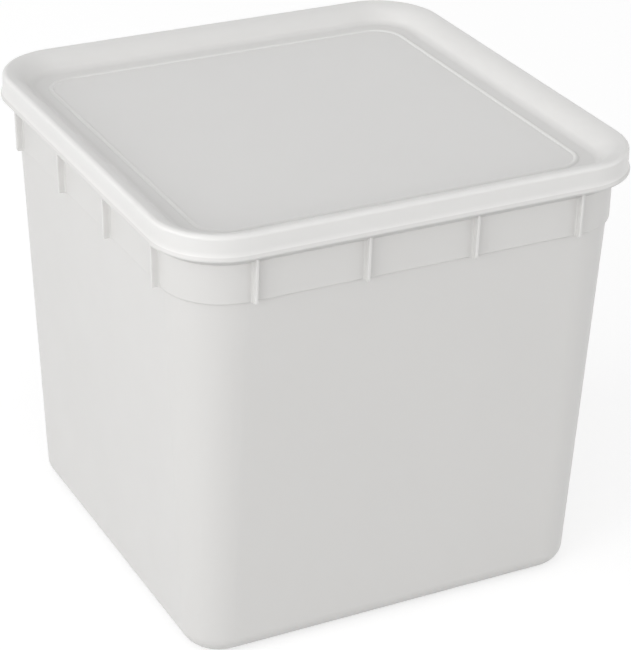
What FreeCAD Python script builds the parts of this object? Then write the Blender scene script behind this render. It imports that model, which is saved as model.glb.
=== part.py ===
import FreeCAD, Part
import math
import os

# Square catering ice cream tub, shut with its lid. Millimetres, +Z up.
# The origin is the middle of the underside, on the ground.
# Every horizontal section is a square with rounded corners. All the sections of
# a piece share the four corner centres, so a piece is one profile carried round
# them: pushed straight along each side and turned a quarter circle at each corner.

# ---------------------------------------------------------------- driving sizes
LID_WIDTH = 182.0
HEIGHT = 171.0

BASE_WIDTH = 155.7
TOP_WIDTH = 169.3
BASE_CORNER_RADIUS = 14.0
FOOT_RADIUS = 7.2
HOLLOW_WIDTH = 132.0
HOLLOW_DEPTH = 1.0
HOLLOW_CORNER_RADIUS = 9.0
HOLLOW_SLOPE = 1.6

COLLAR_BOTTOM = 143.6
COLLAR_WIDTH = 171.4
COLLAR_EDGE_RADIUS = 0.8

FLANGE_FOOT = 158.3
FLANGE_FOOT_RADIUS = 0.5

RIM_WIDTH = 177.4
RIM_THICKNESS = 4.4
RIM_TOP = 168.4

RIBS_PER_SIDE = 4
RIB_SPACING = 41.4
RIB_THICKNESS = 1.1
RIB_DEPTH_TOP = 3.0
RIB_DEPTH_BOTTOM = 2.6
RIB_ROOT_RADIUS = 0.7
RIB_EDGE_RADIUS = 0.3
RIB_TOE_RADIUS = 0.9
RIB_TOE_RISE = 0.1
RIB_SINK = 0.8

LID_CORNER_RADIUS = 25.6
LID_WALL = 1.2
LIP_CENTRE = 162.4
LIP_RADIUS = 0.9
LIP_FLARE = 0.8
FLARE_RADIUS = 4.0
SKIRT_CLEARANCE = 0.3
SHOULDER_RADIUS = 1.5
CREST_RADIUS = 10.7
CREST_TILT = 9.0
RECESS_DEPTH = 6.6
COVE_RADIUS = 3.5

BEAD_WIDTH = 146.3
BEAD_CORNER_RADIUS = 10.7
BEAD_THICKNESS = 2.0
BEAD_RISE = 0.5

# ------------------------------------------------------------- worked-out sizes
TUB_CENTRE = BASE_WIDTH / 2 - BASE_CORNER_RADIUS
LID_CENTRE = LID_WIDTH / 2 - LID_CORNER_RADIUS
PANEL_TOP = HEIGHT - RECESS_DEPTH
PANEL_BOTTOM = PANEL_TOP - LID_WALL
SKIRT_HALF = LID_WIDTH / 2 - LIP_FLARE
SKIRT_INNER_HALF = RIM_WIDTH / 2 + SKIRT_CLEARANCE
COLLAR_HALF = COLLAR_WIDTH / 2
SAME_POINT = 1e-7


# ------------------------------------------------------------ profile geometry
def at(half, z):
    """A point of a section: distance from the middle of the piece, and height."""
    return FreeCAD.Vector(half, 0, z)


def polar(centre, radius, degrees):
    """The point at an angle on a circle in the plane of the section."""
    angle = math.radians(degrees)
    return centre + FreeCAD.Vector(radius * math.cos(angle), 0, radius * math.sin(angle))


def line(start, end):
    return Part.LineSegment(start, end).toShape()


def arc(centre, radius, start, end):
    """An arc of a circle in the section, between two angles in degrees."""
    middle = polar(centre, radius, (start + end) / 2)
    return Part.Arc(polar(centre, radius, start), middle, polar(centre, radius, end)).toShape()


def face_of(edges):
    """A face from edges in order, joined by straight lines where they don't meet."""
    loop = []
    for edge, following in zip(edges, edges[1:] + edges[:1]):
        loop.append(edge)
        end = last_point(edge)
        start = first_point(following)
        if end.distanceToPoint(start) > SAME_POINT:
            loop.append(line(end, start))
    return Part.Face(Part.Wire(loop))


def first_point(edge):
    return edge.valueAt(edge.FirstParameter)


def last_point(edge):
    return edge.valueAt(edge.LastParameter)


def carry_round(face, centre_half):
    """Carry a section round a square whose corner centres are centre_half out."""
    length = 2 * centre_half
    middle = FreeCAD.Vector(0, 0, 0)
    up = FreeCAD.Vector(0, 0, 1)
    side = face.extrude(FreeCAD.Vector(0, length, 0))
    side.translate(FreeCAD.Vector(0, -centre_half, 0))
    corner = face.copy()
    corner.translate(FreeCAD.Vector(0, centre_half, 0))
    corner = corner.revolve(FreeCAD.Vector(centre_half, centre_half, 0), up, 90)
    pieces = []
    for quarter in range(4):
        for piece in (side, corner):
            turned = piece.copy()
            turned.rotate(middle, up, 90 * quarter)
            pieces.append(turned)
    return pieces


def square_block(half, bottom, top):
    return Part.makeBox(2 * half, 2 * half, top - bottom, FreeCAD.Vector(-half, -half, bottom))


def joined(pieces):
    return pieces[0].multiFuse(pieces[1:]).removeSplitter()


def lip_centre():
    return at(LID_WIDTH / 2 - LIP_RADIUS, LIP_CENTRE)


def flange_angle():
    """How far the flange's underside faces down: it leans from the collar to the lip."""
    reach = lip_centre() - at(COLLAR_HALF, FLANGE_FOOT)
    turn = math.degrees(math.acos(-LIP_RADIUS / reach.Length))
    return turn - math.degrees(math.atan2(reach.z, reach.x))


def flange_edge():
    """The flange's outer edge, where the lid's lip rests on it."""
    return polar(lip_centre(), LIP_RADIUS, -flange_angle())


# -------------------------------------------------------------------------- tub
def wall_half(z):
    """Half width of the tapered wall at a height."""
    return (BASE_WIDTH + (TOP_WIDTH - BASE_WIDTH) * z / COLLAR_BOTTOM) / 2


def tub_section():
    """Section of the tub: foot, tapered wall, collar, flange, and the rim inside the lid."""
    draft = math.degrees(math.atan2(wall_half(COLLAR_BOTTOM) - wall_half(0), COLLAR_BOTTOM))
    # the foot's arc meets the tapered wall tangentially
    lean = math.radians(draft)
    foot_half = wall_half(0) - FOOT_RADIUS * (1 - math.sin(lean)) / math.cos(lean)
    foot_centre = at(foot_half, FOOT_RADIUS)
    edge = flange_edge()
    foot_reach = FLANGE_FOOT_RADIUS * math.tan(math.radians(flange_angle() / 2))
    flange_foot = at(COLLAR_HALF + FLANGE_FOOT_RADIUS, FLANGE_FOOT - foot_reach)
    rim_half = RIM_WIDTH / 2
    crown_radius = RIM_THICKNESS / 2
    crown = at(rim_half - crown_radius, RIM_TOP - crown_radius)
    return face_of([
        line(at(TUB_CENTRE, 0), at(foot_half, 0)),
        arc(foot_centre, FOOT_RADIUS, -90, -draft),
        line(polar(foot_centre, FOOT_RADIUS, -draft), at(wall_half(COLLAR_BOTTOM), COLLAR_BOTTOM)),
        arc(at(COLLAR_HALF - COLLAR_EDGE_RADIUS, COLLAR_BOTTOM + COLLAR_EDGE_RADIUS),
            COLLAR_EDGE_RADIUS, -90, 0),
        arc(flange_foot, FLANGE_FOOT_RADIUS, 180, 180 - flange_angle()),
        line(edge, at(rim_half, edge.z)),
        arc(crown, crown_radius, 0, 180),
        line(at(rim_half - RIM_THICKNESS, RIM_TOP - crown_radius),
             at(rim_half - RIM_THICKNESS, PANEL_BOTTOM)),
        line(at(rim_half - RIM_THICKNESS, PANEL_BOTTOM), at(TUB_CENTRE, PANEL_BOTTOM)),
    ])


def foot_hollow():
    """The shallow hollow under the tub, which leaves a ring to stand on."""
    outer = HOLLOW_WIDTH / 2
    centre = outer - HOLLOW_CORNER_RADIUS
    profile = face_of([
        line(at(centre, 0), at(outer, 0)),
        line(at(outer, 0), at(outer - HOLLOW_SLOPE, HOLLOW_DEPTH)),
        line(at(outer - HOLLOW_SLOPE, HOLLOW_DEPTH), at(centre, HOLLOW_DEPTH)),
    ])
    return joined(carry_round(profile, centre) + [square_block(centre, 0, HOLLOW_DEPTH)])


def rib_plan(depth):
    """Top view of a rib on the +X face: flared root, straight flanks."""
    wall = COLLAR_HALF
    half = RIB_THICKNESS / 2
    root_half = half + RIB_ROOT_RADIUS
    edges = []
    for side in (-1, 1):
        centre = FreeCAD.Vector(wall + RIB_ROOT_RADIUS, side * root_half, 0)
        reach = RIB_ROOT_RADIUS * math.sqrt(0.5)
        root = Part.Arc(
            FreeCAD.Vector(wall, side * root_half, 0),
            centre - FreeCAD.Vector(reach, side * reach, 0),
            FreeCAD.Vector(wall + RIB_ROOT_RADIUS, side * half, 0)).toShape()
        flank = line(FreeCAD.Vector(wall + RIB_ROOT_RADIUS, side * half, 0),
                     FreeCAD.Vector(wall + depth, side * half, 0))
        inner = line(FreeCAD.Vector(wall - RIB_ROOT_RADIUS, side * root_half, 0),
                     FreeCAD.Vector(wall, side * root_half, 0))
        edges += [inner, root, flank]
    for x in (wall - RIB_ROOT_RADIUS, wall + depth):
        half_width = root_half if x < wall else half
        edges.append(line(FreeCAD.Vector(x, -half_width, 0), FreeCAD.Vector(x, half_width, 0)))
    return Part.Face(Part.Wire(Part.__sortEdges__(edges)))


def rib_side():
    """Side view of a rib: it runs up into the flange, and leans in towards a rounded toe."""
    wall = COLLAR_HALF
    toe = COLLAR_BOTTOM + RIB_TOE_RISE
    top = FLANGE_FOOT + RIB_DEPTH_TOP / math.tan(math.radians(flange_angle())) + RIB_SINK
    lean = math.degrees(math.atan2(RIB_DEPTH_TOP - RIB_DEPTH_BOTTOM, top - toe))
    toe_centre = at(wall + RIB_DEPTH_BOTTOM - RIB_TOE_RADIUS, toe + RIB_TOE_RADIUS)
    return face_of([
        line(at(wall - RIB_ROOT_RADIUS, toe), polar(toe_centre, RIB_TOE_RADIUS, -90)),
        arc(toe_centre, RIB_TOE_RADIUS, -90, -lean),
        line(polar(toe_centre, RIB_TOE_RADIUS, -lean), at(wall + RIB_DEPTH_TOP, top)),
        line(at(wall + RIB_DEPTH_TOP, top), at(wall - RIB_ROOT_RADIUS, top)),
    ])


def rib():
    """One rib of the collar, on the middle of the +X face."""
    plan = rib_plan(RIB_DEPTH_TOP + RIB_ROOT_RADIUS)
    column = plan.extrude(FreeCAD.Vector(0, 0, HEIGHT))
    side = rib_side()
    width = RIB_THICKNESS + 4 * RIB_ROOT_RADIUS
    slab = side.extrude(FreeCAD.Vector(0, width, 0))
    slab.translate(FreeCAD.Vector(0, -width / 2, 0))
    blank = column.common(slab)
    tip = COLLAR_HALF + RIB_DEPTH_BOTTOM - RIB_TOE_RADIUS
    corners = [edge for edge in blank.Edges
               if edge.BoundBox.XMin > tip and edge.BoundBox.ZLength > RIB_THICKNESS]
    return blank.makeFillet(RIB_EDGE_RADIUS, corners)


def ribs():
    """The ribs of all four sides, evenly spaced about the middle of each."""
    up = FreeCAD.Vector(0, 0, 1)
    one = rib()
    row = []
    for side in range(4):
        for place in range(RIBS_PER_SIDE):
            shift = (place - (RIBS_PER_SIDE - 1) / 2) * RIB_SPACING
            copy = one.copy()
            copy.translate(FreeCAD.Vector(0, shift, 0))
            copy.rotate(FreeCAD.Vector(0, 0, 0), up, 90 * side)
            row.append(copy)
    return row


def tub():
    body = joined(carry_round(tub_section(), TUB_CENTRE) + [square_block(TUB_CENTRE, 0, PANEL_BOTTOM)])
    return body.cut(foot_hollow()).multiFuse(ribs()).removeSplitter()


# -------------------------------------------------------------------------- lid
def lid_section():
    """Section of the lid: panel, cove, crest, shoulder, skirt, flare and lip."""
    shoulder = at(SKIRT_HALF - SHOULDER_RADIUS, HEIGHT - SHOULDER_RADIUS)
    # the crest's arc leaves the shoulder tangentially, leaning inwards
    crest = polar(shoulder, CREST_RADIUS - SHOULDER_RADIUS, CREST_TILT - 90)
    cove_z = PANEL_TOP + COVE_RADIUS
    reach = CREST_RADIUS + COVE_RADIUS
    cove = at(crest.x - math.sqrt(reach ** 2 - (cove_z - crest.z) ** 2), cove_z)
    steepest = math.degrees(math.atan2(crest.x - cove.x, cove.z - crest.z))
    lip = lip_centre()
    flare_reach = FLARE_RADIUS + LIP_RADIUS
    flare_x = SKIRT_HALF + FLARE_RADIUS
    flare = at(flare_x, lip.z + math.sqrt(flare_reach ** 2 - (flare_x - lip.x) ** 2))
    flare_turn = math.degrees(math.atan2(flare.z - lip.z, flare.x - lip.x))
    under_radius = CREST_RADIUS - LID_WALL
    under_angle = 90 + math.degrees(math.asin((crest.x - SKIRT_INNER_HALF) / under_radius))
    under_top = polar(crest, under_radius, under_angle)
    bottom = flange_edge()
    return face_of([
        line(at(LID_CENTRE, PANEL_TOP), at(cove.x, PANEL_TOP)),
        arc(cove, COVE_RADIUS, -90, steepest - 90),
        arc(crest, CREST_RADIUS, 90 + steepest, 90 + CREST_TILT),
        arc(shoulder, SHOULDER_RADIUS, 90 + CREST_TILT, 0),
        line(at(SKIRT_HALF, shoulder.z), at(SKIRT_HALF, flare.z)),
        arc(flare, FLARE_RADIUS, 180, 180 + flare_turn),
        arc(lip, LIP_RADIUS, flare_turn, -flange_angle()),
        line(bottom, at(SKIRT_INNER_HALF, bottom.z)),
        line(at(SKIRT_INNER_HALF, bottom.z), under_top),
        arc(crest, under_radius, under_angle, 90 + steepest),
        arc(cove, COVE_RADIUS + LID_WALL, steepest - 90, -90),
        line(at(cove.x, PANEL_BOTTOM), at(LID_CENTRE, PANEL_BOTTOM)),
    ])


def bead_section():
    """Section of the thin raised line round the lid's panel: a low arc on a foot."""
    middle = BEAD_WIDTH / 2
    half = BEAD_THICKNESS / 2
    crown = Part.Arc(at(middle + half, PANEL_TOP), at(middle, PANEL_TOP + BEAD_RISE),
                     at(middle - half, PANEL_TOP)).toShape()
    foot = PANEL_TOP - LID_WALL / 2
    return face_of([crown, line(at(middle - half, foot), at(middle + half, foot))])


def lid():
    shell = carry_round(lid_section(), LID_CENTRE)
    panel = square_block(LID_CENTRE, PANEL_BOTTOM, PANEL_TOP)
    bead = carry_round(bead_section(), BEAD_WIDTH / 2 - BEAD_CORNER_RADIUS)
    return joined(shell + [panel] + bead)


def check(name, shape):
    """Stop if a piece isn't one sound solid, and say what it measures."""
    if not shape.isValid() or len(shape.Solids) != 1:
        raise ValueError(f"{name}: valid {shape.isValid()}, solids {len(shape.Solids)}")
    box = shape.optimalBoundingBox()
    print(f"{name}: {box.XLength:.2f} x {box.YLength:.2f} x {box.ZLength:.2f} mm, "
          f"volume {shape.Volume / 1e6:.3f} litres, faces {len(shape.Faces)}")


def main():
    os.makedirs("parts", exist_ok=True)
    for name, shape in (("tub", tub()), ("lid", lid())):
        check(name, shape)
        shape.Solids[0].exportStep(f"parts/{name}.step")


main()
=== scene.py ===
import math

import bpy
from mathutils import Matrix, Vector


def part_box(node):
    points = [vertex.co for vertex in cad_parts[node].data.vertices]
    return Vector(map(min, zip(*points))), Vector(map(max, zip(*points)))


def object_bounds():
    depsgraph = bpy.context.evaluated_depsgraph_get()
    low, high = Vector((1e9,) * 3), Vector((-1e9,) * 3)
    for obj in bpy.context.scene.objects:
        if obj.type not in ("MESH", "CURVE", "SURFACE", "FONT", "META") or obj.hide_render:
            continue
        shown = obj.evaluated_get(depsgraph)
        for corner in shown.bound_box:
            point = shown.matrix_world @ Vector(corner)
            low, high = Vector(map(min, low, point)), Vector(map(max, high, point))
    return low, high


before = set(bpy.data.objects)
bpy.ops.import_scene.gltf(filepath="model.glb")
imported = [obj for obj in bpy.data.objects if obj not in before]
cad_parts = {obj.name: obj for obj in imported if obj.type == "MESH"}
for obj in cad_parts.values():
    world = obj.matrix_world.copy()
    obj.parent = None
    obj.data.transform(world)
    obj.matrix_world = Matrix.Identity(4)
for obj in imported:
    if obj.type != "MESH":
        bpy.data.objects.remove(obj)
cad_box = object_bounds()

# ---------------------------------------------------------------- camera
# Angles in degrees, lens in millimetres, the rest in metres. Azimuth 0 looks along +Y.
CAMERA_AZIMUTH = -27.56
CAMERA_ELEVATION = 27.32
CAMERA_ROLL = 1.44
CAMERA_DISTANCE = 0.9233
CAMERA_LENS = 135.26
AIM = (0.0064, 0.0015, 0.07965)
QUARTER_TURN = 90

# ---------------------------------------------------------------- light and stage
WHITE = (1, 1, 1, 1)
WORLD_LEVEL = 0.61
FLOOR_SIZE = 40.0
FLOOR_COLOUR = (0.5, 0.5, 0.5, 1)
FLOOR_LIFT = 0.61
SOFTBOX_DISTANCE = 1.6
SOFTBOX_WIDTH = 2.0
SOFTBOX_HEIGHT = 0.9
SOFTBOXES = {
    "left": dict(azimuth=-88, elevation=25, level=0.42),
    "front": dict(azimuth=-42, elevation=10, level=0.41),
    "right": dict(azimuth=42, elevation=10, level=0.26),
}

# ---------------------------------------------------------------- plastic
# The colour is linear, and flow is the share by which its tone drifts.
# Grain, wave and drag are heights of relief in metres.
PLASTICS = {
    "tub": dict(
        colour=(0.677, 0.67, 0.658),
        roughness=0.36,
        flow=0.010,
        grain=3e-6,
        wave=2e-4,
        drag=4e-6,
    ),
    "lid": dict(
        colour=(0.772, 0.765, 0.752),
        roughness=0.33,
        flow=0.006,
        grain=2e-6,
        wave=1e-4,
        drag=0,
    ),
}
PLASTIC_IOR = 1.5
SOFTNESS = 0.4
SOFT_DEPTH = 0.003
SOFT_COLOURS = (1, 1, 1)

# The lowest part of the lid has the tone of the tub's rim, which shows there.
EDGE_HEIGHT = 1.8e-3
EDGE_BLEND = 1e-4

# Scales are lumps to the metre. The drag lines are stretched along Z.
FLOW_SCALE = 9
ROUGH_SCALE = 70
ROUGH_DRIFT = 0.03
GRAIN_SCALE = 320
WAVE_SCALE = 15
WAVE_DETAIL = 1
DRAG_SCALE = 1
DRAG_STRETCH = (240, 240, 5)
NOISE_RANGE = (0.3, 0.7)


# ---------------------------------------------------------------- materials
def noise(tree, place, scale, detail=2):
    """Smooth noise through the solid, with about scale lumps to the metre."""
    node = tree.nodes.new("ShaderNodeTexNoise")
    node.inputs["Scale"].default_value = scale
    node.inputs["Detail"].default_value = detail
    tree.links.new(place, node.inputs["Vector"])
    return node.outputs["Fac"]


def drift(tree, value, middle, spread):
    """Noise as a number that drifts about a middle."""
    low, high = NOISE_RANGE
    node = tree.nodes.new("ShaderNodeMapRange")
    node.inputs["From Min"].default_value = low
    node.inputs["From Max"].default_value = high
    node.inputs["To Min"].default_value = middle - spread
    node.inputs["To Max"].default_value = middle + spread
    tree.links.new(value, node.inputs["Value"])
    return node.outputs["Result"]


def tint(tree, value, colour, spread):
    """Noise as a colour that drifts a little darker and lighter."""
    node = tree.nodes.new("ShaderNodeValToRGB")
    gains = (1 - spread, 1 + spread)
    for element, position, gain in zip(node.color_ramp.elements, NOISE_RANGE, gains):
        element.position = position
        element.color = [gain * part for part in colour] + [1]
    tree.links.new(value, node.inputs["Fac"])
    return node.outputs["Color"]


def two_tone(tree, place, split, lower, upper):
    """One colour below a height and another above it, with a narrow blend."""
    height = tree.nodes.new("ShaderNodeSeparateXYZ")
    tree.links.new(place, height.inputs["Vector"])
    step = tree.nodes.new("ShaderNodeMapRange")
    step.inputs["From Min"].default_value = split - EDGE_BLEND
    step.inputs["From Max"].default_value = split + EDGE_BLEND
    tree.links.new(height.outputs["Z"], step.inputs["Value"])
    mix = tree.nodes.new("ShaderNodeMixRGB")
    tree.links.new(step.outputs["Result"], mix.inputs["Fac"])
    tree.links.new(lower, mix.inputs["Color1"])
    tree.links.new(upper, mix.inputs["Color2"])
    return mix.outputs["Color"]


def relief(tree, value, height, below=None):
    """Noise as a relief of some height, laid over the relief below it, if any."""
    node = tree.nodes.new("ShaderNodeBump")
    node.inputs["Distance"].default_value = height
    tree.links.new(value, node.inputs["Height"])
    if below is not None:
        tree.links.new(below, node.inputs["Normal"])
    return node.outputs["Normal"]


def plastic(name, colour, roughness, flow, grain, wave, drag, edge=None):
    """Moulded plastic with a drifting tone, slow waves in its walls and a fine grain.

    With a drag height it also has faint lines up its walls. With an edge, the part
    below that height has the colour of the tub.
    """
    material = bpy.data.materials.new(name)
    material.use_nodes = True
    tree = material.node_tree
    shader = tree.nodes["Principled BSDF"]
    place = tree.nodes.new("ShaderNodeTexCoord").outputs["Object"]

    surface = relief(tree, noise(tree, place, WAVE_SCALE, WAVE_DETAIL), wave)
    surface = relief(tree, noise(tree, place, GRAIN_SCALE), grain, surface)
    if drag:
        stretch = tree.nodes.new("ShaderNodeMapping")
        stretch.inputs["Scale"].default_value = DRAG_STRETCH
        tree.links.new(place, stretch.inputs["Vector"])
        lines = noise(tree, stretch.outputs["Vector"], DRAG_SCALE)
        surface = relief(tree, lines, drag, surface)

    melt = noise(tree, place, FLOW_SCALE)
    tone = tint(tree, melt, colour, flow)
    if edge is not None:
        rim_tone = tint(tree, melt, PLASTICS["tub"]["colour"], flow)
        tone = two_tone(tree, place, edge, rim_tone, tone)

    links = {
        "Base Color": tone,
        "Roughness": drift(tree, noise(tree, place, ROUGH_SCALE), roughness, ROUGH_DRIFT),
        "Normal": surface,
    }
    for socket, value in links.items():
        tree.links.new(value, shader.inputs[socket])
    shader.inputs["IOR"].default_value = PLASTIC_IOR
    shader.inputs["Subsurface Weight"].default_value = SOFTNESS
    shader.inputs["Subsurface Radius"].default_value = SOFT_COLOURS
    shader.inputs["Subsurface Scale"].default_value = SOFT_DEPTH
    return material


def dress(node, material):
    """Give a CAD node its material."""
    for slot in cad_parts[node].material_slots:
        slot.material = material


# ---------------------------------------------------------------- camera, lights, floor
def look_from(azimuth, elevation):
    """The direction from the object towards a camera or a lamp."""
    turn = math.radians(azimuth)
    rise = math.radians(elevation)
    level = math.cos(rise)
    return Vector((math.sin(turn) * level, -math.cos(turn) * level, math.sin(rise)))


def make_camera():
    """The camera at the photo's angle, rolled a little as the photo is."""
    back = look_from(CAMERA_AZIMUTH, CAMERA_ELEVATION)
    across = look_from(CAMERA_AZIMUTH + QUARTER_TURN, 0)
    axes = Matrix((across, back.cross(across), back)).transposed()
    axes = Matrix.Rotation(math.radians(CAMERA_ROLL), 3, back) @ axes
    data = bpy.data.cameras.new("camera")
    data.lens = CAMERA_LENS
    camera = bpy.data.objects.new("camera", data)
    place = Matrix.Translation(Vector(AIM) + back * CAMERA_DISTANCE)
    camera.matrix_world = place @ axes.to_4x4()
    bpy.context.collection.objects.link(camera)
    bpy.context.scene.camera = camera


def make_softbox(name, azimuth, elevation, level):
    """A wide lamp aimed at the middle of the object.

    The level is what a white card facing it would render at, if all its light came
    from its middle.
    """
    lo, hi = cad_box
    back = look_from(azimuth, elevation)
    data = bpy.data.lights.new(name, "AREA")
    data.shape = "RECTANGLE"
    data.size = SOFTBOX_WIDTH
    data.size_y = SOFTBOX_HEIGHT
    data.energy = level * (math.pi * SOFTBOX_DISTANCE) ** 2
    lamp = bpy.data.objects.new(name, data)
    lamp.location = (lo + hi) / 2 + back * SOFTBOX_DISTANCE
    lamp.rotation_mode = "QUATERNION"
    lamp.rotation_quaternion = (-back).to_track_quat("-Z", "Y")
    bpy.context.collection.objects.link(lamp)


def background_rays(tree):
    """1 for the rays that see the background: from the camera, off gloss, through glass."""
    path = tree.nodes.new("ShaderNodeLightPath")
    seen = path.outputs["Is Camera Ray"]
    for kind in ("Is Glossy Ray", "Is Transmission Ray"):
        either = tree.nodes.new("ShaderNodeMath")
        either.operation = "MAXIMUM"
        tree.links.new(seen, either.inputs[0])
        tree.links.new(path.outputs[kind], either.inputs[1])
        seen = either.outputs["Value"]
    return seen


def light_world():
    """An even pale surround, seen as white."""
    world = bpy.data.worlds.new("surround")
    bpy.context.scene.world = world
    world.use_nodes = True
    tree = world.node_tree
    surround = tree.nodes["Background"]
    surround.inputs["Color"].default_value = WHITE
    surround.inputs["Strength"].default_value = WORLD_LEVEL
    white = tree.nodes.new("ShaderNodeBackground")
    white.inputs["Color"].default_value = WHITE
    mix = tree.nodes.new("ShaderNodeMixShader")
    tree.links.new(background_rays(tree), mix.inputs["Fac"])
    tree.links.new(surround.outputs["Background"], mix.inputs[1])
    tree.links.new(white.outputs["Background"], mix.inputs[2])
    tree.links.new(mix.outputs["Shader"], tree.nodes["World Output"].inputs["Surface"])


def make_floor():
    """A pale floor, lifted to white where it is seen, apart from the shadow on it."""
    lo, hi = cad_box
    half = FLOOR_SIZE / 2
    square = ((-half, -half), (half, -half), (half, half), (-half, half))
    mesh = bpy.data.meshes.new("floor")
    mesh.from_pydata([(x, y, lo.z) for x, y in square], [], [(0, 1, 2, 3)])
    floor = bpy.data.objects.new("floor", mesh)
    bpy.context.collection.objects.link(floor)

    material = bpy.data.materials.new("floor")
    material.use_nodes = True
    tree = material.node_tree
    tree.nodes.clear()
    paint = tree.nodes.new("ShaderNodeBsdfDiffuse")
    paint.inputs["Color"].default_value = FLOOR_COLOUR
    glow = tree.nodes.new("ShaderNodeEmission")
    glow.inputs["Color"].default_value = WHITE
    lift = tree.nodes.new("ShaderNodeMath")
    lift.operation = "MULTIPLY"
    lift.inputs[1].default_value = FLOOR_LIFT
    add = tree.nodes.new("ShaderNodeAddShader")
    out = tree.nodes.new("ShaderNodeOutputMaterial")
    tree.links.new(background_rays(tree), lift.inputs[0])
    tree.links.new(lift.outputs["Value"], glow.inputs["Strength"])
    tree.links.new(paint.outputs["BSDF"], add.inputs[0])
    tree.links.new(glow.outputs["Emission"], add.inputs[1])
    tree.links.new(add.outputs["Shader"], out.inputs["Surface"])
    mesh.materials.append(material)


# ---------------------------------------------------------------- the scene
make_camera()
light_world()
for name, lamp in SOFTBOXES.items():
    make_softbox(name, **lamp)
make_floor()

dress("tub", plastic("tub_plastic", **PLASTICS["tub"]))
dress("lid", plastic("lid_plastic", edge=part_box("lid")[0].z + EDGE_HEIGHT, **PLASTICS["lid"]))
bpy.context.scene.view_settings.view_transform = "Standard"
